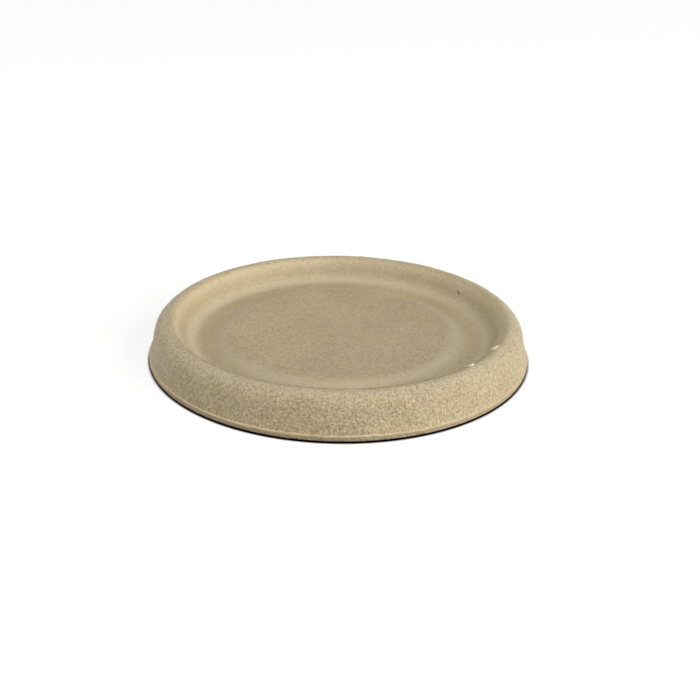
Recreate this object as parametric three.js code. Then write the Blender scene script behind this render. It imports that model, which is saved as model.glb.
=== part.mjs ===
// Sauce cup lid, pressed from one sheet of moulded paper pulp.
// Millimetres, +Z up. The origin is the centre of the foot, on the plane the lid rests on.
//
// The lid is a surface of revolution. Its upper face is set out as straight faces with
// rounded corners, and the underside follows it one wall lower all the way, as pressed pulp does.

import * as THREE from "three";

// Overall size
const outerDiameter = 66; // over the trimmed edge
const wall = 0.8; // the pressed sheet, measured square to its faces

// Trimmed edge round the foot
const edgeHeight = 0.95; // from the foot plane to the ledge
const edgeLedge = 0.3; // how far the cut face stands out from the skirt
const edgeFootRadius = 0.3; // worn round under the cut face, so only a narrow ring touches down

// Skirt, which grips the outside of the cup's rolled rim
const skirtDraft = 11.5; // degrees that it leans in on the way up
const shoulderInsideRadius = 2.6; // where the skirt turns into the crown

// Crown, which sits on top of the rolled rim
const crownHeight = 7.15; // level of its inner corner before rounding
const crownFall = 0.78; // how much lower its outer corner is
const crownWidth = 2.93; // from its outer corner to its inner one
const crownInsideRadius = 0.4; // where the crown turns down into the plug

// Plug, the wall and trough that go down inside the cup's mouth
const plugSlope = 57; // degrees from level
const plugFootRadius = 3.8; // hollow curve from the wall into the trough
const troughHeight = 3.05; // upper face of the trough
const troughWidth = 4.15; // level ring between the two hollow curves' corners

// Panel, the raised flat middle
const panelRise = 0.75; // above the trough
const panelSlope = 17; // degrees from level, on the ramp up to it
const panelFootRadius = 6.8; // hollow curve at the ramp's foot
const panelInsideRadius = 5.2; // round turn at the ramp's head

// Smoothness of the faceted solid
const turnSteps = 72; // facets round the axis
const arcStep = 12; // largest turn of one facet across a rounded corner, in degrees
const edgeFootSteps = 3; // facets across the edge's lower corner

const radians = THREE.MathUtils.degToRad;

// Each corner of the upper face: its place (radius, height) and how far it is rounded.
// A corner that bulges upwards is given by its inside radius, so the wall is added to it.
function upperCorners() {
  const outer = outerDiameter / 2;
  const skirtFoot = outer - edgeLedge;
  const shoulderHeight = crownHeight - crownFall;
  const shoulder = skirtFoot - (shoulderHeight - edgeHeight) * Math.tan(radians(skirtDraft));
  const crown = shoulder - crownWidth;
  const plugFoot = crown - (crownHeight - troughHeight) / Math.tan(radians(plugSlope));
  const rampFoot = plugFoot - troughWidth;
  const rampHead = rampFoot - panelRise / Math.tan(radians(panelSlope));
  const panelHeight = troughHeight + panelRise;
  return [
    { at: new THREE.Vector2(0, panelHeight), round: 0 },
    { at: new THREE.Vector2(rampHead, panelHeight), round: panelInsideRadius + wall },
    { at: new THREE.Vector2(rampFoot, troughHeight), round: panelFootRadius },
    { at: new THREE.Vector2(plugFoot, troughHeight), round: plugFootRadius },
    { at: new THREE.Vector2(crown, crownHeight), round: crownInsideRadius + wall },
    { at: new THREE.Vector2(shoulder, shoulderHeight), round: shoulderInsideRadius + wall },
    { at: new THREE.Vector2(skirtFoot, edgeHeight), round: 0 },
  ];
}

// The unit vector along the straight face from one corner to the next.
function direction(from, to) {
  return to.at.clone().sub(from.at).normalize();
}

// The direction square to a face, out of the sheet: on the left as the section is walked outwards.
function leftOf(along) {
  return new THREE.Vector2(-along.y, along.x);
}

// The signed turn at a corner, positive where the section bends upwards.
function turnAt(before, after) {
  return Math.atan2(before.cross(after), before.dot(after));
}

// How far each corner's rounding reaches along its faces. Two roundings that want more than
// the face between them has share it in proportion.
function roundReaches(corners) {
  const wanted = corners.map(({ round }, i) => {
    if (!round) return 0;
    const turn = turnAt(direction(corners[i - 1], corners[i]), direction(corners[i], corners[i + 1]));
    return round * Math.tan(Math.abs(turn) / 2);
  });
  const share = (i, j) => Math.min(1, corners[i].at.distanceTo(corners[j].at) / (wanted[i] + wanted[j]));
  return wanted.map((reach, i) => (reach ? reach * Math.min(share(i, i - 1), share(i, i + 1)) : 0));
}

// Points on the arc that rounds corner i, each with the direction square to the upper face there.
function roundedCorner(corners, i, reach) {
  const before = direction(corners[i - 1], corners[i]);
  const after = direction(corners[i], corners[i + 1]);
  const turn = turnAt(before, after);
  const radius = reach / Math.tan(turn / 2);
  const start = corners[i].at.clone().addScaledVector(before, -reach);
  const square = leftOf(before);
  const centre = start.clone().addScaledVector(square, radius);
  const steps = Math.max(2, Math.ceil(Math.abs(turn) / radians(arcStep)));
  return Array.from({ length: steps + 1 }, (_, k) => {
    const normal = square.clone().rotateAround(new THREE.Vector2(), (turn * k) / steps);
    return { point: centre.clone().addScaledVector(normal, -radius), normal };
  });
}

// The upper face from the axis out to the head of the trimmed edge.
function upperFace() {
  const corners = upperCorners();
  const reaches = roundReaches(corners);
  const last = corners.length - 1;
  const face = [{ point: corners[0].at, normal: new THREE.Vector2(0, 1) }];
  for (let i = 1; i < last; i += 1) face.push(...roundedCorner(corners, i, reaches[i]));
  face.push({ point: corners[last].at, normal: leftOf(direction(corners[last - 1], corners[last])) });
  return face;
}

// The underside, one wall below the upper face, run on down the skirt to the foot plane.
function underside(face) {
  const points = face.map(({ point, normal }) => point.clone().addScaledVector(normal, -wall));
  const { normal } = face.at(-1);
  const alongSkirt = new THREE.Vector2(normal.y, -normal.x);
  const skirtEnd = points.at(-1);
  skirtEnd.addScaledVector(alongSkirt, -skirtEnd.y / alongSkirt.y);
  return points;
}

// The trimmed edge, from the foot ring round its lower corner and up to the ledge.
function trimmedEdge() {
  const outer = outerDiameter / 2;
  const corner = new THREE.Path();
  corner.absarc(outer - edgeFootRadius, edgeFootRadius, edgeFootRadius, -Math.PI / 2, 0);
  return [...corner.getPoints(edgeFootSteps), new THREE.Vector2(outer, edgeHeight)];
}

// The whole section: out along the underside, up the trimmed edge and back along the upper face.
function section() {
  const face = upperFace();
  const upper = face.map(({ point }) => point).reverse();
  return [...underside(face), ...trimmedEdge(), ...upper];
}

// The lid's one solid, turned from the lathe's upright axis Y to Z.
function makeLid() {
  const geometry = new THREE.LatheGeometry(section(), turnSteps);
  geometry.rotateX(Math.PI / 2);
  const pulp = new THREE.MeshStandardMaterial({ color: 0xb9a787, roughness: 0.9, metalness: 0 });
  const lid = new THREE.Mesh(geometry, pulp);
  lid.name = "lid_shell";
  return lid;
}

const sauceCupLid = new THREE.Group();
sauceCupLid.add(makeLid());

export default sauceCupLid;
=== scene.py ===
"""Sauce cup lid of moulded paper pulp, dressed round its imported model.

The lid is one pressed sheet. Its surface is worked out from its section as whole arrays, with the
unevenness, grain and worn edge of real pulp, and single fibres, plant flecks and two torn tufts of
fibre lie on it. The section's sizes are written in millimetres, and the meshes are in metres.
"""

import math

import bpy
import numpy as np
from mathutils import Matrix, Vector

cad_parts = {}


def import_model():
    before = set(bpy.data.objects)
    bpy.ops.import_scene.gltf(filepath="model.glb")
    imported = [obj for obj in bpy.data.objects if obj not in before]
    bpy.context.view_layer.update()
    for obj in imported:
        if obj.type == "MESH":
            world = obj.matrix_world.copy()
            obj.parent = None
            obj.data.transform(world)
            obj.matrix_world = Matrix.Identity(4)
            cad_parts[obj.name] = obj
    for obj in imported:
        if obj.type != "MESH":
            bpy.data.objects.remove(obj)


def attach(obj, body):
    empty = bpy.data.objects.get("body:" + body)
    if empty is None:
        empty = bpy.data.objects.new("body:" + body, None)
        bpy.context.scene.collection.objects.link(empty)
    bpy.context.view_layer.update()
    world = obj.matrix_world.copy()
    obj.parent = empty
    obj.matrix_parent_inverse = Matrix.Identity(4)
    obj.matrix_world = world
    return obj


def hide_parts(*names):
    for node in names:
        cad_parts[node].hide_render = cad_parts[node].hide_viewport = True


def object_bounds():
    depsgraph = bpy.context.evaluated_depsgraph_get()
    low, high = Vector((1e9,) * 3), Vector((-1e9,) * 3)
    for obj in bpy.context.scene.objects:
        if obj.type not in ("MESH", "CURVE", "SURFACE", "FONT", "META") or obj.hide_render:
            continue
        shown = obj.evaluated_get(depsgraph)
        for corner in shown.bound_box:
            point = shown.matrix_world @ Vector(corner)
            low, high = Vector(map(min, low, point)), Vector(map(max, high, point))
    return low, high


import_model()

cad_low, cad_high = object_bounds()

MM = 0.001

# Section of the sheet, in millimetres and degrees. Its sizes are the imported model's, but for the shoulder,
# the crown's inner corner and the ramp, which follow the photograph's highlights a little closer.
OUTER = cad_high.x / MM
WALL = 0.8
EDGE_HEIGHT = 0.95
EDGE_LEDGE = 0.3
EDGE_FOOT_RADIUS = 0.3
SKIRT_DRAFT = 11.5
SHOULDER_RADIUS = 3.0
CROWN_HEIGHT = 7.21
CROWN_FALL = 0.78
CROWN_WIDTH = 2.93
CROWN_RADIUS = 1.6
PLUG_SLOPE = 57
PLUG_FOOT_RADIUS = 3.8
TROUGH_HEIGHT = 3.05
TROUGH_WIDTH = 4.15
PANEL_RISE = 0.75
PANEL_SLOPE = 20
PANEL_FOOT_RADIUS = 5.0
PANEL_HEAD_RADIUS = 4.5

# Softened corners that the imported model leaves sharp, and how far the edge's line runs on up the skirt
LEDGE_HOLLOW = 0.08
LEDGE_ROUND = 0.12
UNDERSIDE_ROUND = 0.12
EDGE_OVERLAP = 3 * LEDGE_HOLLOW

# Fineness of the surface: steps round the turn, steps across in millimetres, and the fewest on an arc
TURN_STEPS = 720
FINE_STEP = 0.27
EDGE_STEP = FINE_STEP / 2
PANEL_STEP = 0.62
UNDERSIDE_STEP = 0.62
LAYING_STEP = 0.1
ARC_STEPS = 3

# Radii in millimetres: where the panel's coarser steps end, and beyond which the face ends at the edge's line
PANEL_EDGE = 20.0
CROWN_MIDDLE = 30.0

# Unevenness of pressed pulp: its height in millimetres, and its waves' length, how many are summed, and seed
RIPPLE_HEIGHT, RIPPLE_WAVES = 0.010, (8.0, 24, 13)
GRAIN_HEIGHT, GRAIN_WAVES = 0.014, (1.1, 72, 11)
PIMPLE_HEIGHT, PIMPLE_WAVES = 0.03, (0.9, 72, 12)
FRAY_HEIGHT, FRAY_WAVES = 0.025, (1.6, 72, 14)
# The shortest and longest wave as shares of that length
WAVE_SHARES = (0.7, 1.5)
# Pimples are what stands above this level of their waves, and the fray cuts in below it
STANDING_OUT = 1.0

# The share of roughness left on the panel, and where unevenness fades, in millimetres: the radii between
# panel and rim, the height above the foot, and for the fray its heights and its breadth
PANEL_CALM = 0.35
ROUGH_FROM, ROUGH_FULL = 27.5, 30
FOOT_CALM = 0.8
FRAY_FROM, FRAY_FULL, FRAY_FADE, FRAY_BREADTH = 0.1, 0.45, 0.3, 0.5

# The rim's stretch out of round in millimetres, its swings (how many round the turn, share, phase),
# and the heights between which it grows
OUT_OF_ROUND = 0.035
SWINGS = ((2, 0.6, 0.7), (3, 0.4, -1.1))
SWING_FROM, SWING_FULL = -1, 6

# Scattered strands, in millimetres: seed, count, range of distance from the axis along the face, range of
# length, range of width, thickness, points along each
RIM_FIBRES = (21, 1500, (31.0, 38.0), (0.4, 1.2), (0.08, 0.15), 0.03, 7)
PANEL_FIBRES = (22, 420, (0.8, 25.0), (0.8, 2.4), (0.06, 0.11), 0.012, 7)
STREWN_FLECKS = (23, 46, (0.8, 37.5), (0.18, 0.5), (0.1, 0.2), 0.02, 5)
SCATTER_BEND = 0.35

# The flecks that stand out: turn in degrees, distance from the axis along the face, heading in degrees,
# length, width
PLACED_FLECKS = (
    (34.8, 28.1, 25, 1.7, 0.42),
    (62.0, 12.4, 40, 0.55, 0.4),
    (-49.2, 37.6, 70, 0.35, 0.3),
    (48.0, 9.0, 10, 0.5, 0.25),
)
FLECK_THICKNESS, FLECK_STEPS = 0.02, 5

# The torn tufts: turn in degrees, distance from the axis along the face, heading in degrees, length,
# fibres, seed
NIBS = (
    (-27.0, 30.5, 8, 1.8, 22, 31),
    (-43.5, 30.8, 5, 1.2, 10, 32),
)
# How far a tuft's fibres stray in turn (radians), distance, heading and bend (radians), and their ranges
NIB_TURN, NIB_RUN, NIB_HEADING, NIB_BEND = 0.006, 0.13, 0.3, 0.3
NIB_LENGTH_SHARES, NIB_WIDTHS, NIB_THICKNESSES = (0.5, 1.0), (0.1, 0.2), (0.06, 0.2)
NIB_STEPS = 9

# How deep a strand's underside sits in millimetres, the share of that for its sides, how blunt its ends are,
# and the least radius taken where a length round the lid becomes a turn
SINK_DEPTH = 0.05
SIDE_SINK = 0.2
BLUNT_END = 0.004
LEAST_RADIUS = 0.5

# Camera, found from the outline in the photograph, in millimetres, degrees and pixels. Its roll is in
# radians, and the nearest distance that it sees in metres.
CAMERA_ELEVATION = 24.71
CAMERA_DISTANCE = 198.0
CAMERA_ROLL = 0.0146
FOCAL_PIXELS = 1120.26
FRAME_PIXELS = 700
AIM_COLUMN, AIM_ROW = 338.66, 349.10
AIM_HEIGHT = 0.25
SENSOR_WIDTH = 36
NEAREST_SEEN = 0.01

# Lamps: azimuth and elevation in degrees, level on a surface that faces the lamp, and side in metres
LAMP_DISTANCE = 2.6
LAMPS = (
    ("key_right", -30, 13, 0.27, 0.9),
    ("low_right", -2, 4.5, 0.47, 0.36),
    ("key_right_front", -40, 30, 0.32, 0.9),
    ("right_high", 0, 42, 0.08, 0.9),
    ("front_high", -85, 42, 0.37, 0.9),
    ("left_low", 170, 15, 0.22, 0.9),
    ("left_front", -135, 22, 0.14, 0.9),
    ("overhead", 0, 88, 0.21, 0.9),
    ("below", -70, -55, 0.6, 0.9),
)
SURROUND_LIGHT = 0.04

# The contact shadow painted black on the floor under the foot's worn corner: half its breadth and half its
# depth in millimetres, and the share of those over which it fades
CONTACT_BREADTH, CONTACT_DEPTH = 33.0, 33.32
CONTACT_FADE = 0.014

# The floor's radius in metres, and the radius in millimetres of its opening under the lid
FLOOR_REACH = 2.5
FLOOR_OPENING = 32.3
FLOOR_STEPS = 144


def linear(red, green, blue):
    """The linear colour of an sRGB one that is given from 0 to 255."""
    share = np.array([red, green, blue]) / 255
    low, high = share / 12.92, ((share + 0.055) / 1.055) ** 2.4
    return tuple(np.where(share <= 0.04045, low, high).tolist()) + (1.0,)


PULP = linear(170, 152, 115)
PULP_LIGHT = linear(206, 189, 152)
PULP_DARK = linear(122, 102, 68)
# Colours of painted light for the lid's rings: a painted highlight, then a painted shade
PAINTED_HIGHLIGHT = linear(202, 192, 166)
PAINTED_SHADE = linear(147, 131, 101)
# Painted shade for the crease along the front of the crown's inner corner
CREASE_SHADE = linear(118, 98, 66)
# The cut face's tone, darker partly by its cut fibres and partly by painted shade; then the ledge's painted
# highlight
CUT_FIBRE_AND_SHADE = linear(163, 144, 110)
LEDGE_HIGHLIGHT = linear(214, 196, 156)
FLECK = linear(112, 92, 64)
FIBRE = linear(192, 176, 142)
NIB = linear(240, 228, 200)
FLOOR = linear(180, 180, 180)
FLOOR_GLOW = 0.64
PAINTED_SHADOW_BLACK, WHITE = (0.0, 0.0, 0.0, 1.0), (1.0, 1.0, 1.0, 1.0)

# Rings of painted highlight and painted shade on the pulp: inner and outer radius in millimetres, share at
# the middle, colour
PAINTED_LIGHT_BANDS = (
    (18.8, 22.6, 0.38, PAINTED_HIGHLIGHT),
    (24.0, 27.0, 0.42, PAINTED_HIGHLIGHT),
    (26.0, 28.1, 0.6, PAINTED_SHADE),
    (27.4, 28.9, 0.25, PAINTED_HIGHLIGHT),
    (28.9, 31.5, 0.45, PAINTED_HIGHLIGHT),
)
# Painted shade along the crown's inner corner, at the front only: its radii, share, and where it fades
CREASE_INNER, CREASE_OUTER, CREASE_SHARE = 28.2, 29.4, 0.95
CREASE_FULL_AT, CREASE_GONE_AT = -22.0, -8.0

# The pulp's noises: scale in cycles per metre, detail, roughness. The fibre lines' place is scaled already.
CLOUD_NOISE = (150, 3.0, 0.5)
GRAIN_NOISE = (2700, 2.0, 0.6)
COARSE_NOISE = (2100, 3.0, 0.65)
FIBRE_NOISE = (1.0, 1.5, 0.6)
STRAND_NOISE = (700, 2.0, 0.5)
# The specks' cells per metre
SPECK_CELLS = 330.0

# Fibre lines: their headings in radians, cycles per metre across and along, half breadth in noise levels
FIBRE_HEADINGS = ((0.1, 0.2, 0.1), (0.3, 0.1, 1.2), (0.2, 0.3, 2.3))
FIBRES_ACROSS, FIBRES_ALONG = 1700, 420
FIBRE_BREADTH = 0.045

# Shares of the pulp's tones: the even one over the cloud, then grain, fibre lines, specks, the ledge's
# painted highlight and the cut face's darker tone, partly its cut fibres and partly painted shade
EVEN_SHARE = 0.8
GRAIN_SHARE = 0.6
FIBRE_SHARE = 0.2
SPECK_SHARE = 0.5
LEDGE_SHARE = 0.5
CUT_SHARE = 0.9

# The grain's contrast between the panel's edge and the crown, on the panel, and the radii of both fades
WALL_CONTRAST, PANEL_CONTRAST = 0.35, 0.7
RIM_FROM, RIM_FULL = 28.2, 30.5
PANEL_GONE, PANEL_FULL = 22, 19

# Noise levels between which the cloud runs and its shares at both, and those where grain begins and is full
CLOUD_RANGE = (0.35, 0.65, 0.2, 0.8)
PALE_GRAIN, DARK_GRAIN = (0.51, 0.64), (0.49, 0.36)

# Where the edge's tones, the ledge's painted highlight and the cut face's partly painted shade, are gone and
# full, in millimetres: inside the rim, above the ledge and below it
RIM_TONE_GONE, RIM_TONE_FULL = 0.6, 0.4
LEDGE_GONE, LEDGE_FULL = 0.08, 0.03
CUT_GONE, CUT_FULL = 0.08, 0.16

# Specks: the share of cells that hold none, and the speck's radii where full and gone as shares of a cell
SPECKLESS = 0.72
SPECK_FULL, SPECK_GONE = 0.05, 0.11

# The bump's height in millimetres and the fibre lines' share of it, and the pulp's roughness and gloss
BUMP_HEIGHT = 0.42
FIBRE_BUMP = 0.05
PULP_ROUGHNESS, PULP_GLOSS = 0.52, 0.55

# The strands' finish: noise levels of its cloud, how dark the cloud is, roughness, gloss and sheen
STRAND_CLOUD = (0.35, 0.65)
STRAND_SHADE = 0.78
STRAND_ROUGHNESS, STRAND_GLOSS, STRAND_SHEEN = 0.85, 0.3, 0.1


# The section: its corners, and the line through them with every corner rounded

def section_corners():
    """Corners (radius, height) of the upper face from the axis out to the skirt's foot, and their roundings.

    A straight face that falls or rises by h at an angle a takes h / tan(a) of radius, and the skirt, which
    leans in by its draft d, takes h tan(d).
    """
    skirt_foot = OUTER - EDGE_LEDGE
    shoulder_height = CROWN_HEIGHT - CROWN_FALL
    shoulder = skirt_foot - (shoulder_height - EDGE_HEIGHT) * math.tan(math.radians(SKIRT_DRAFT))
    crown = shoulder - CROWN_WIDTH
    plug_foot = crown - (CROWN_HEIGHT - TROUGH_HEIGHT) / math.tan(math.radians(PLUG_SLOPE))
    ramp_foot = plug_foot - TROUGH_WIDTH
    ramp_head = ramp_foot - PANEL_RISE / math.tan(math.radians(PANEL_SLOPE))
    panel = TROUGH_HEIGHT + PANEL_RISE
    corners = [
        (0, panel),
        (ramp_head, panel),
        (ramp_foot, TROUGH_HEIGHT),
        (plug_foot, TROUGH_HEIGHT),
        (crown, CROWN_HEIGHT),
        (shoulder, shoulder_height),
        (skirt_foot, EDGE_HEIGHT),
    ]
    rounds = [0, PANEL_HEAD_RADIUS, PANEL_FOOT_RADIUS, PLUG_FOOT_RADIUS, CROWN_RADIUS, SHOULDER_RADIUS, 0]
    return np.array(corners, float), rounds


def rounded_line(corners, rounds, step):
    """A polygon's line with each corner replaced by an arc that touches both its sides.

    The arc of radius R at a turn t starts R tan(t/2) before the corner. Each stretch is divided evenly,
    into pieces no longer than step(radius).
    """
    corners = np.asarray(corners, float)
    stretches, last = [], corners[0]
    for before, corner, after, radius in zip(corners, corners[1:], corners[2:], rounds[1:-1]):
        go_in = (corner - before) / np.linalg.norm(corner - before)
        go_out = (after - corner) / np.linalg.norm(after - corner)
        turn = math.atan2(go_in[0] * go_out[1] - go_in[1] * go_out[0], go_in @ go_out)
        reach = radius * math.tan(abs(turn) / 2)
        start = corner - go_in * reach
        stretches.append(straight(last, start, step))
        stretches.append(arc(start, go_in, turn, radius, step))
        last = corner + go_out * reach
    stretches.append(straight(last, corners[-1], step))
    return np.concatenate([*stretches, corners[-1:]])


def straight(start, end, step):
    """Even points from start up to, and not with, end."""
    count = max(1, math.ceil(np.linalg.norm(end - start) / step((start[0] + end[0]) / 2)))
    return start + np.linspace(0, 1, count, endpoint=False)[:, None] * (end - start)


def arc(start, heading, turn, radius, step):
    """Even points along an arc: start + R (sin a, 1 - cos a) in the frame of heading and its turned side."""
    count = max(ARC_STEPS, math.ceil(abs(turn) * radius / step(start[0])))
    angle = np.linspace(0, abs(turn), count, endpoint=False)[:, None]
    side = np.array([-heading[1], heading[0]]) * math.copysign(1, turn)
    return start + radius * (np.sin(angle) * heading + (1 - np.cos(angle)) * side)


def left_normals(line):
    """Unit vectors square to an open line of points, on its left, from central differences."""
    along = np.gradient(line, axis=0)
    along /= np.linalg.norm(along, axis=1, keepdims=True)
    return np.stack([-along[:, 1], along[:, 0]], axis=1)


def upper_step(radius):
    """Length of one step along the upper face: coarser on the flat panel."""
    return PANEL_STEP if radius < PANEL_EDGE else FINE_STEP


def even_step(length):
    """Steps of one length at every radius."""
    return lambda radius: length


def edge_line(inner_foot):
    """The trimmed edge from the foot ring up over its soft ledge to the skirt, as a rounded polygon."""
    skirt_foot = OUTER - EDGE_LEDGE
    lean = EDGE_OVERLAP * math.tan(math.radians(SKIRT_DRAFT))
    corners = [
        (inner_foot + UNDERSIDE_ROUND, 0),
        (OUTER, 0),
        (OUTER, EDGE_HEIGHT),
        (skirt_foot, EDGE_HEIGHT),
        (skirt_foot - lean, EDGE_HEIGHT + EDGE_OVERLAP),
    ]
    rounds = [0, EDGE_FOOT_RADIUS, LEDGE_ROUND, LEDGE_HOLLOW, 0]
    return rounded_line(corners, rounds, even_step(EDGE_STEP))


def lid_section():
    """The closed section: underside out to the foot, trimmed edge, and upper face back to the axis.

    The underside is the upper face moved one wall along its own normal, and runs on down its last slant to
    the foot, where it is cut off at a bevel. Gives the points and, for each, whether it is on the upper side.
    """
    corners, rounds = section_corners()
    upper = rounded_line(corners, rounds, upper_step)
    coarse = rounded_line(corners, rounds, even_step(UNDERSIDE_STEP))
    under = coarse - WALL * left_normals(coarse)
    slant = under[-1] - under[-2]
    inner_foot = under[-1, 0] - slant[0] * under[-1, 1] / slant[1]
    under[-1] = (inner_foot, UNDERSIDE_ROUND)
    under[0, 0] = 0
    edge = edge_line(inner_foot)
    on_skirt = upper[:, 0] > CROWN_MIDDLE
    above_edge = upper[:, 1] > edge[-1, 1] + EDGE_STEP
    line = np.concatenate([under, edge, upper[~on_skirt | above_edge][::-1]])
    is_upper = np.arange(len(line)) >= len(under)
    return line, is_upper


# Unevenness

def waves(points, length, count, seed):
    """Noise of unit spread: sqrt(2 / count) times the sum of cos(k . p + phase) over the waves.

    Each wave vector k has a random heading and 2 pi over about the given length as its size.
    """
    rng = np.random.default_rng(seed)
    heading = rng.normal(size=(count, 3))
    heading /= np.linalg.norm(heading, axis=1, keepdims=True)
    number = 2 * np.pi / (length * rng.uniform(*WAVE_SHARES, count))
    phase = rng.uniform(0, 2 * np.pi, count)
    total = np.zeros(points.shape[:-1])
    for k in range(count):
        total += np.cos(points @ (heading[k] * number[k]) + phase[k])
    return total * math.sqrt(2 / count)


def smooth_step(value, low, high):
    """0 below low, 1 above high, and 3t^2 - 2t^3 between."""
    t = np.clip((value - low) / (high - low), 0, 1)
    return t * t * (3 - 2 * t)


def unevenness(points, is_upper):
    """How far the pulp stands out along its normal, in millimetres, at points of shape (turn, section, 3).

    Long ripples move both faces. Short grain and pimples are on the upper side only, and are pressed
    flatter on the panel than on the skirt and crown.
    """
    radius = np.hypot(points[..., 0], points[..., 1])
    rough = PANEL_CALM + (1 - PANEL_CALM) * smooth_step(radius, ROUGH_FROM, ROUGH_FULL)
    grain = GRAIN_HEIGHT * waves(points, *GRAIN_WAVES)
    pimples = PIMPLE_HEIGHT * np.maximum(0, waves(points, *PIMPLE_WAVES) - STANDING_OUT)
    ripple = RIPPLE_HEIGHT * waves(points, *RIPPLE_WAVES)
    calm_foot = smooth_step(points[..., 2], 0.0, FOOT_CALM)
    return calm_foot * (ripple + is_upper * rough * (grain + pimples))


def fray(points):
    """How far the trimmed edge stands out or in, in millimetres: nothing away from the edge."""
    radius, height = np.hypot(points[..., 0], points[..., 1]), points[..., 2]
    rise = smooth_step(height, FRAY_FROM, FRAY_FULL)
    fade = 1 - smooth_step(height, EDGE_HEIGHT, EDGE_HEIGHT + FRAY_FADE)
    at_edge = rise * fade * smooth_step(radius, OUTER - FRAY_BREADTH, OUTER)
    return at_edge * FRAY_HEIGHT * (waves(points, *FRAY_WAVES) - STANDING_OUT)


def out_of_round(turn, height):
    """Radial stretch of the rim in millimetres, never outwards: the swings' cosines less their crest of 1."""
    swing = sum(share * np.cos(number * turn + phase) for number, share, phase in SWINGS) - 1.0
    return OUT_OF_ROUND * swing * smooth_step(height, SWING_FROM, SWING_FULL)


def weathered(points, out, is_upper):
    """Points of the even lid moved by the pulp's unevenness along their normals, and then out of round."""
    radius = np.hypot(points[..., 0], points[..., 1])
    turn = np.arctan2(points[..., 1], points[..., 0])
    moved = points + out * (unevenness(points, is_upper) + fray(points))[..., None]
    stretch = out_of_round(turn, moved[..., 2]) * radius / OUTER
    moved[..., 0] += stretch * np.cos(turn)
    moved[..., 1] += stretch * np.sin(turn)
    return moved


def turned(ring, line):
    """A line of (radius, height) carried round a ring of unit vectors: (radius cos, radius sin, height)."""
    height = np.broadcast_to(line[:, 1:], (len(ring), len(line), 1))
    return np.concatenate([ring * line[:, :1], height], axis=-1)


def lid_points():
    """The lid's surface as an array (turn, section, 3) in millimetres."""
    line, is_upper = lid_section()
    turn = np.linspace(0, 2 * np.pi, TURN_STEPS, endpoint=False)[:, None]
    ring = np.stack([np.cos(turn), np.sin(turn)], axis=-1)
    return weathered(turned(ring, line), turned(ring, -left_normals(line)), is_upper)


# Meshes

def mesh_object(name, vertices, faces, material):
    """A smooth mesh object at the origin from arrays in metres."""
    mesh = bpy.data.meshes.new(name)
    mesh.from_pydata(vertices.tolist(), [], faces)
    mesh.materials.append(material)
    mesh.polygons.foreach_set("use_smooth", np.full(len(mesh.polygons), True))
    mesh.update()
    piece = bpy.data.objects.new(name, mesh)
    bpy.context.scene.collection.objects.link(piece)
    return piece


def pulp_piece(name, vertices, faces, material):
    """A mesh object that rides on the lid's body."""
    piece = mesh_object(name, vertices, faces, material)
    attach(piece, "root")
    return piece


def pressed_sheet(material):
    """The lid itself: rings of quads round the turn, closed at both poles by a fan of triangles."""
    points = lid_points()
    first, last = points[:, 0].mean(axis=0), points[:, -1].mean(axis=0)
    rings = points[:, 1:-1]
    turns, rows = rings.shape[:2]
    index = np.arange(turns * rows).reshape(turns, rows)
    ahead = np.roll(index, -1, axis=0)
    quads = np.stack([index[:, :-1], ahead[:, :-1], ahead[:, 1:], index[:, 1:]], axis=-1).reshape(-1, 4)
    south, north = turns * rows, turns * rows + 1
    floor_fan = np.stack([np.full(turns, south), ahead[:, 0], index[:, 0]], axis=-1)
    roof_fan = np.stack([np.full(turns, north), index[:, -1], ahead[:, -1]], axis=-1)
    vertices = np.concatenate([rings.reshape(-1, 3), [first, last]]) * MM
    faces = quads.tolist() + floor_fan.tolist() + roof_fan.tolist()
    sheet = pulp_piece("pressed_sheet", vertices, faces, material)
    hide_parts("lid_shell")


def upper_line():
    """The upper face from the axis to the skirt's foot: its points, the distance along it, its normals."""
    corners, rounds = section_corners()
    line = rounded_line(corners, rounds, even_step(LAYING_STEP))
    run = np.concatenate([[0], np.cumsum(np.linalg.norm(np.diff(line, axis=0), axis=1))])
    return line, run, left_normals(line)


def on_upper_face(turn, run):
    """Points and normals of the even upper face at turns and distances from the axis, in millimetres."""
    line, along, normals = upper_line()
    radius, height = np.interp(run, along, line[:, 0]), np.interp(run, along, line[:, 1])
    out, rise = np.interp(run, along, normals[:, 0]), np.interp(run, along, normals[:, 1])
    point = np.stack([radius * np.cos(turn), radius * np.sin(turn), height], axis=-1)
    normal = np.stack([out * np.cos(turn), out * np.sin(turn), rise], axis=-1)
    return point, normal


def strands(turn, run, heading, length, width, thickness, bend, steps):
    """Flat strands lying on the upper face, as closed tubes of four sides with blunt ends.

    Each runs through its middle (turn, run) along a heading a + b s between round the lid and across it,
    with the bend b and s from -1 to 1 along it: (cos, sin)(a + b s) s length / 2. The half width and the
    lift off the face both follow the square root of 1 - s^2.
    """
    s = np.linspace(-1, 1, steps)[None, :]
    aim = heading[:, None] + bend[:, None] * s
    around, across = np.cos(aim) * s * length[:, None] / 2, np.sin(aim) * s * length[:, None] / 2
    line, along, _ = upper_line()
    middle_radius = np.interp(run, along, line[:, 0])[:, None]
    spine_turn = turn[:, None] + around / np.maximum(middle_radius, LEAST_RADIUS)
    even, normal = on_upper_face(spine_turn, run[:, None] + across)
    point = weathered(even, normal, 1)
    ahead = np.gradient(point, axis=1)
    ahead /= np.linalg.norm(ahead, axis=-1, keepdims=True)
    side = np.cross(normal, ahead)
    swell = np.sqrt(np.maximum(1 - s * s, 0.0) + BLUNT_END)
    half = (width[:, None] / 2 * swell)[..., None]
    lift = (thickness[:, None] * swell)[..., None]
    low = point - normal * SINK_DEPTH * SIDE_SINK
    corners = [low + side * half, point + normal * lift, low - side * half, point - normal * SINK_DEPTH]
    return np.stack(corners, axis=2)


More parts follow.
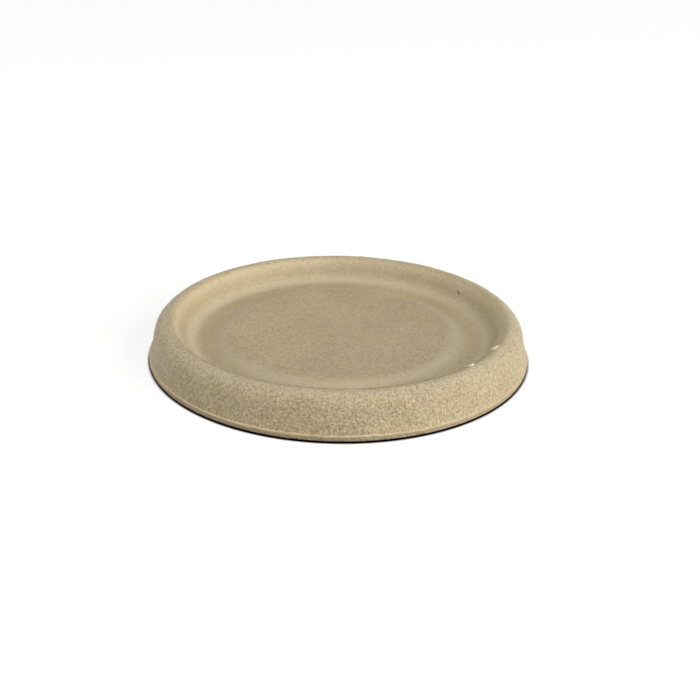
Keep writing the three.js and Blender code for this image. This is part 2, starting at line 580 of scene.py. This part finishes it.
def strand_mesh(name, rings, material):
    """One mesh of closed tubes from rings of shape (strand, step, side, 3): quad walls and two caps each."""
    count, steps, sides = rings.shape[:3]
    index = np.arange(count * steps * sides).reshape(count, steps, sides)
    beside = np.roll(index, -1, axis=2)
    walls = np.stack([index[:, :-1], beside[:, :-1], beside[:, 1:], index[:, 1:]], axis=-1).reshape(-1, sides)
    caps = np.concatenate([index[:, 0, ::-1], index[:, -1]])
    faces = walls.tolist() + caps.tolist()
    pulp_piece(name, rings.reshape(-1, 3) * MM, faces, material)


def scattered_strands(seed, count, run_range, lengths, widths, thickness, steps):
    """Strands strewn evenly over the face between two distances from the axis.

    The distance is the square root of an even draw between the two distances' squares.
    """
    rng = np.random.default_rng(seed)
    run = np.sqrt(rng.uniform(run_range[0] ** 2, run_range[1] ** 2, count))
    turn = rng.uniform(0, 2 * np.pi, count)
    heading = rng.uniform(0, np.pi, count)
    length, width = rng.uniform(*lengths, count), rng.uniform(*widths, count)
    bend = rng.normal(0, SCATTER_BEND, count)
    return strands(turn, run, heading, length, width, np.full(count, thickness), bend, steps)


def surface_fibres():
    """Single plant fibres dried on the face: many short ones on the rim, fewer and longer on the panel."""
    rings = np.concatenate([scattered_strands(*RIM_FIBRES), scattered_strands(*PANEL_FIBRES)])
    strand_mesh("surface_fibres", rings, plain_pulp("pale_fibre", FIBRE))


def plant_flecks():
    """Dark flecks of husk in the pulp: a strewn few, and those that stand out in the photograph."""
    turn, run, heading, length, width = np.array(PLACED_FLECKS).T
    thickness, bend = np.full(len(turn), FLECK_THICKNESS), np.zeros(len(turn))
    placed = strands(np.radians(turn), run, np.radians(heading), length, width, thickness, bend, FLECK_STEPS)
    rings = np.concatenate([scattered_strands(*STREWN_FLECKS), placed])
    strand_mesh("plant_flecks", rings, plain_pulp("plant_husk", FLECK))


def torn_tuft(turn, run, heading, length, count, seed):
    """A bundle of fibres that fan out of one root."""
    rng = np.random.default_rng(seed)
    middle_turn = math.radians(turn) + rng.normal(0, NIB_TURN, count)
    middle_run = run + rng.normal(0, NIB_RUN, count)
    aim = math.radians(heading) + rng.normal(0, NIB_HEADING, count)
    size = length * rng.uniform(*NIB_LENGTH_SHARES, count)
    width, thickness = rng.uniform(*NIB_WIDTHS, count), rng.uniform(*NIB_THICKNESSES, count)
    bend = rng.normal(0, NIB_BEND, count)
    return strands(middle_turn, middle_run, aim, size, width, thickness, bend, NIB_STEPS)


def fibre_nibs():
    """The two pale tufts torn up on the crown's inner side."""
    rings = np.concatenate([torn_tuft(*nib) for nib in NIBS])
    strand_mesh("fibre_nibs", rings, plain_pulp("torn_fibre", NIB))


# Finishes

class Nodes:
    """Short calls that add shader nodes to one material or surround and join them."""

    def __init__(self, owner):
        self.owner = owner
        owner.use_nodes = True
        self.tree = owner.node_tree
        self.tree.nodes.clear()

    def add(self, kind, values=None, links=None, **settings):
        """A node with its settings, its sockets' constant values and its sockets' links."""
        node = self.tree.nodes.new(kind)
        for key, value in settings.items():
            setattr(node, key, value)
        for key, value in (values or {}).items():
            node.inputs[key].default_value = value
        for key, output in (links or {}).items():
            self.tree.links.new(output, node.inputs[key])
        return node

    def fill(self, socket, value):
        """Sets a socket to a number or colour, or links it to an output."""
        if isinstance(value, (int, float, tuple)):
            socket.default_value = value
        else:
            self.tree.links.new(value, socket)

    def position(self):
        return self.add("ShaderNodeTexCoord").outputs["Object"]

    def parts(self, place):
        return self.add("ShaderNodeSeparateXYZ", links={0: place}).outputs

    def reach(self, place, shares):
        """The length of a place's vector once its three parts are multiplied by shares."""
        scaled = self.add("ShaderNodeVectorMath", {1: shares}, {0: place}, operation="MULTIPLY").outputs[0]
        return self.add("ShaderNodeVectorMath", links={0: scaled}, operation="LENGTH").outputs["Value"]

    def noise(self, place, settings):
        """Noise at a place, with settings of scale, detail and roughness."""
        values = dict(zip(("Scale", "Detail", "Roughness"), settings))
        return self.add("ShaderNodeTexNoise", values, {"Vector": place}).outputs["Fac"]

    def math(self, operation, first, second=0.0):
        node = self.add("ShaderNodeMath", operation=operation)
        for socket, value in zip(node.inputs, (first, second)):
            self.fill(socket, value)
        return node.outputs[0]

    def product(self, first, second):
        return self.math("MULTIPLY", first, second)

    def distance(self, value, middle):
        return self.math("ABSOLUTE", self.math("SUBTRACT", value, middle))

    def spread(self, value, low, high, to_low=0.0, to_high=1.0):
        """A value's straight run from to_low at low to to_high at high, held beyond both."""
        values = {"From Min": low, "From Max": high, "To Min": to_low, "To Max": to_high}
        return self.add("ShaderNodeMapRange", values, {"Value": value}).outputs["Result"]

    def band(self, radius, inner, outer, peak):
        """A share that is the peak midway between two radii in millimetres, and runs down to 0 at both."""
        off_middle = self.distance(radius, (inner + outer) / 2 * MM)
        return self.spread(off_middle, 0.0, (outer - inner) / 2 * MM, peak, 0.0)

    def mix(self, share, first, second):
        node = self.add("ShaderNodeMix", data_type="RGBA")
        for key, value in (("Factor", share), ("A", first), ("B", second)):
            self.fill(next(s for s in node.inputs if s.name == key and s.enabled), value)
        return next(s for s in node.outputs if s.enabled)

    def seen(self):
        """1 for rays from the camera, a gloss or glass, and 0 for those that only bring light."""
        rays = self.add("ShaderNodeLightPath").outputs
        direct_or_gloss = self.math("MAXIMUM", rays["Is Camera Ray"], rays["Is Glossy Ray"])
        return self.math("MAXIMUM", direct_or_gloss, rays["Is Transmission Ray"])

    def finish(self, shader, output="ShaderNodeOutputMaterial"):
        self.add(output, links={"Surface": shader.outputs[0]})
        return self.owner


def fibre_lines(nodes, place, heading):
    """Thin fibre lines: noise drawn out along a heading, 1 on its middle value and 0 a little off it."""
    scale = (FIBRES_ALONG, FIBRES_ACROSS, FIBRES_ACROSS)
    turned_place = nodes.add("ShaderNodeMapping", {"Rotation": heading, "Scale": scale}, {"Vector": place})
    value = nodes.noise(turned_place.outputs["Vector"], FIBRE_NOISE)
    return nodes.spread(nodes.distance(value, 0.5), 0.0, FIBRE_BREADTH, 1.0, 0.0)


def plant_specks(nodes, place):
    """Small round specks at the middles of a few cells."""
    cells = nodes.add("ShaderNodeTexVoronoi", {"Scale": SPECK_CELLS}, {"Vector": place}).outputs
    chance = nodes.add("ShaderNodeSeparateColor", links={0: cells["Color"]}).outputs[0]
    picked = nodes.math("GREATER_THAN", chance, SPECKLESS)
    return nodes.product(nodes.spread(cells["Distance"], SPECK_FULL, SPECK_GONE, 1.0, 0.0), picked)


def tone_with_painted_light(nodes, place, radius, depth):
    """The cloudy tan with its rings of painted highlight and painted shade, and the painted shade of the
    crease along the front of the crown.
    """
    cloud = nodes.noise(place, CLOUD_NOISE)
    tone = nodes.mix(nodes.spread(cloud, *CLOUD_RANGE), PULP_DARK, PULP_LIGHT)
    tone = nodes.mix(EVEN_SHARE, tone, PULP)
    # Rings of painted highlight and painted shade
    for inner, outer, share, colour in PAINTED_LIGHT_BANDS:
        tone = nodes.mix(nodes.band(radius, inner, outer, share), tone, colour)
    # Painted shade along the crown's inner corner, at the front only
    at_front = nodes.spread(depth, CREASE_FULL_AT * MM, CREASE_GONE_AT * MM, CREASE_SHARE, 0.0)
    crease = nodes.product(nodes.band(radius, CREASE_INNER, CREASE_OUTER, 1.0), at_front)
    return nodes.mix(crease, tone, CREASE_SHADE)


def grained_tone(nodes, tone, place, contrast, fibres):
    """The tone with its light and dark grain, fibre lines and specks."""
    grain = nodes.noise(place, GRAIN_NOISE)
    pale = nodes.product(nodes.spread(grain, *PALE_GRAIN, 0.0, GRAIN_SHARE), contrast)
    dark = nodes.product(nodes.spread(grain, *DARK_GRAIN, 0.0, GRAIN_SHARE), contrast)
    tone = nodes.mix(pale, tone, PULP_LIGHT)
    tone = nodes.mix(dark, tone, PULP_DARK)
    tone = nodes.mix(nodes.product(fibres, FIBRE_SHARE), tone, PULP_LIGHT)
    return nodes.mix(nodes.product(plant_specks(nodes, place), SPECK_SHARE), tone, FLECK)


def edged_tone(nodes, tone, radius, height):
    """The tone with the ledge painted pale as a highlight and the cut face below it darker, partly by its cut
    fibres and partly by painted shade, told apart by radius and height.
    """
    at_edge = nodes.spread(radius, (OUTER - RIM_TONE_GONE) * MM, (OUTER - RIM_TONE_FULL) * MM)
    below_ledge = nodes.spread(height, (EDGE_HEIGHT - CUT_GONE) * MM, (EDGE_HEIGHT - CUT_FULL) * MM)
    at_ledge = nodes.spread(height, (EDGE_HEIGHT + LEDGE_GONE) * MM, (EDGE_HEIGHT + LEDGE_FULL) * MM)
    # Painted highlight on the ledge, then the cut face darker, partly painted shade
    tone = nodes.mix(nodes.product(nodes.product(at_edge, at_ledge), LEDGE_SHARE), tone, LEDGE_HIGHLIGHT)
    return nodes.mix(nodes.product(nodes.product(at_edge, below_ledge), CUT_SHARE), tone, CUT_FIBRE_AND_SHADE)


def moulded_pulp():
    """Unbleached pulp: cloudy tan, fine grain, fibre lines in three headings, plant specks, a rougher rim."""
    nodes = Nodes(bpy.data.materials.new("moulded_pulp"))
    place = nodes.position()
    radius = nodes.reach(place, (1, 1, 0))
    parts = nodes.parts(place)
    rim = nodes.spread(radius, RIM_FROM * MM, RIM_FULL * MM, WALL_CONTRAST, 1.0)
    panel = nodes.spread(radius, PANEL_GONE * MM, PANEL_FULL * MM, 0.0, PANEL_CONTRAST)
    contrast = nodes.math("MAXIMUM", rim, panel)
    lines = [fibre_lines(nodes, place, heading) for heading in FIBRE_HEADINGS]
    fibres = nodes.math("MAXIMUM", nodes.math("MAXIMUM", lines[0], lines[1]), lines[2])
    tone = tone_with_painted_light(nodes, place, radius, parts["Y"])
    tone = grained_tone(nodes, tone, place, contrast, fibres)
    tone = edged_tone(nodes, tone, radius, parts["Z"])
    coarse = nodes.product(nodes.noise(place, COARSE_NOISE), contrast)
    height = nodes.math("ADD", coarse, nodes.product(fibres, FIBRE_BUMP))
    bump = nodes.add("ShaderNodeBump", {"Strength": 1.0, "Distance": BUMP_HEIGHT * MM}, {"Height": height})
    values = {"Roughness": PULP_ROUGHNESS, "Specular IOR Level": PULP_GLOSS}
    links = {"Base Color": tone, "Normal": bump.outputs["Normal"]}
    return nodes.finish(nodes.add("ShaderNodeBsdfPrincipled", values, links))


def plain_pulp(name, colour):
    """A matt fibre of one colour with a slight cloud of tone."""
    nodes = Nodes(bpy.data.materials.new(name))
    cloud = nodes.noise(nodes.position(), STRAND_NOISE)
    darker = tuple(channel * STRAND_SHADE for channel in colour[:3]) + (1.0,)
    tone = nodes.mix(nodes.spread(cloud, *STRAND_CLOUD), darker, colour)
    values = {"Roughness": STRAND_ROUGHNESS, "Specular IOR Level": STRAND_GLOSS, "Sheen Weight": STRAND_SHEEN}
    return nodes.finish(nodes.add("ShaderNodeBsdfPrincipled", values, {"Base Color": tone}))


# Stage, lights and camera

def white_floor():
    """A floor that renders white where it is fully lit, keeps the lid's shadow, has a black contact shadow
    painted under the foot, and is clear from below.
    """
    nodes = Nodes(bpy.data.materials.new("floor"))
    shares = (1 / (CONTACT_BREADTH * MM), 1 / (CONTACT_DEPTH * MM), 0)
    # Painted contact shadow: black in a thin ellipse under the foot, where the glow is held off too
    clear = nodes.spread(nodes.reach(nodes.position(), shares), 1.0, 1.0 + CONTACT_FADE)
    colour = nodes.mix(clear, PAINTED_SHADOW_BLACK, FLOOR)
    diffuse = nodes.add("ShaderNodeBsdfDiffuse", links={"Color": colour})
    glow_share = nodes.product(nodes.product(nodes.seen(), clear), FLOOR_GLOW)
    glow = nodes.add("ShaderNodeEmission", links={"Strength": glow_share})
    matt = nodes.add("ShaderNodeAddShader", links={0: diffuse.outputs[0], 1: glow.outputs[0]})
    glass = nodes.add("ShaderNodeBsdfTransparent")
    back = nodes.add("ShaderNodeNewGeometry").outputs["Backfacing"]
    from_camera = nodes.add("ShaderNodeLightPath").outputs["Is Camera Ray"]
    links = {0: nodes.product(back, from_camera), 1: matt.outputs[0], 2: glass.outputs[0]}
    return nodes.finish(nodes.add("ShaderNodeMixShader", links=links))


def floor():
    """A round sheet of floor at the lid's foot, open inside the foot so that light reaches the underside.

    Two circles of the same turn steps, at the opening's radius and the floor's, joined by quads.
    """
    turn = np.linspace(0, 2 * np.pi, FLOOR_STEPS, endpoint=False)
    circle = np.stack([np.cos(turn), np.sin(turn), np.zeros(FLOOR_STEPS)], axis=-1)
    index = np.arange(FLOOR_STEPS)
    ahead = np.roll(index, -1)
    quads = np.stack([index, index + FLOOR_STEPS, ahead + FLOOR_STEPS, ahead], axis=-1)
    vertices = np.concatenate([circle * FLOOR_OPENING * MM, circle * FLOOR_REACH])
    sheet = mesh_object("floor", vertices, quads.tolist(), white_floor())


def world():
    """An even white surround, dimmer for what it lights than for what the camera sees of it."""
    nodes = Nodes(bpy.data.worlds.new("surround"))
    strength = nodes.spread(nodes.seen(), 0.0, 1.0, SURROUND_LIGHT, 1.0)
    background = nodes.add("ShaderNodeBackground", {"Color": WHITE}, {"Strength": strength})
    bpy.context.scene.world = nodes.finish(background, "ShaderNodeOutputWorld")


def soft_light(name, azimuth, elevation, level, size):
    """A square lamp aimed at the lid, of the power that lends a facing surface its level.

    The power is level pi^2 distance^2.
    """
    lamp = bpy.data.lights.new(name, "AREA")
    lamp.size = size
    lamp.energy = level * math.pi ** 2 * LAMP_DISTANCE ** 2
    holder = bpy.data.objects.new(name, lamp)
    turn, rise = math.radians(azimuth), math.radians(elevation)
    toward = Vector((math.cos(turn) * math.cos(rise), math.sin(turn) * math.cos(rise), math.sin(rise)))
    holder.location = toward * LAMP_DISTANCE
    holder.rotation_euler = toward.to_track_quat("Z", "Y").to_euler()
    bpy.context.scene.collection.objects.link(holder)


def camera():
    """A camera where the photograph's was: aimed at the lid's middle, then turned by that aim's offset."""
    rise = math.radians(CAMERA_ELEVATION)
    look = Vector((0, math.cos(rise), -math.sin(rise)))
    up = Vector((0, math.sin(rise), math.cos(rise)))
    right = Vector((1, 0, 0))
    column = math.atan((AIM_COLUMN - FRAME_PIXELS / 2) / FOCAL_PIXELS)
    row = math.atan((AIM_ROW - FRAME_PIXELS / 2) / FOCAL_PIXELS)
    look_side = look * math.cos(column) - right * math.sin(column)
    right_side = right * math.cos(column) + look * math.sin(column)
    look_aim = look_side * math.cos(row) + up * math.sin(row)
    up_aim = up * math.cos(row) - look_side * math.sin(row)
    right_roll = right_side * math.cos(CAMERA_ROLL) + up_aim * math.sin(CAMERA_ROLL)
    up_roll = up_aim * math.cos(CAMERA_ROLL) - right_side * math.sin(CAMERA_ROLL)
    lens = bpy.data.cameras.new("camera")
    lens.sensor_width = SENSOR_WIDTH
    lens.lens = FOCAL_PIXELS / FRAME_PIXELS * lens.sensor_width
    lens.clip_start = NEAREST_SEEN
    holder = bpy.data.objects.new("camera", lens)
    axes = Matrix((right_roll, up_roll, -look_aim)).transposed().to_4x4()
    place = look * (-CAMERA_DISTANCE * MM) + Vector((0, 0, AIM_HEIGHT * MM))
    holder.matrix_world = Matrix.Translation(place) @ axes
    bpy.context.scene.collection.objects.link(holder)
    bpy.context.scene.camera = holder


camera()
pressed_sheet(moulded_pulp())
surface_fibres()
plant_flecks()
fibre_nibs()
floor()
world()
for lamp in LAMPS:
    soft_light(*lamp)

scene = bpy.context.scene
scene.view_settings.view_transform = "Standard"
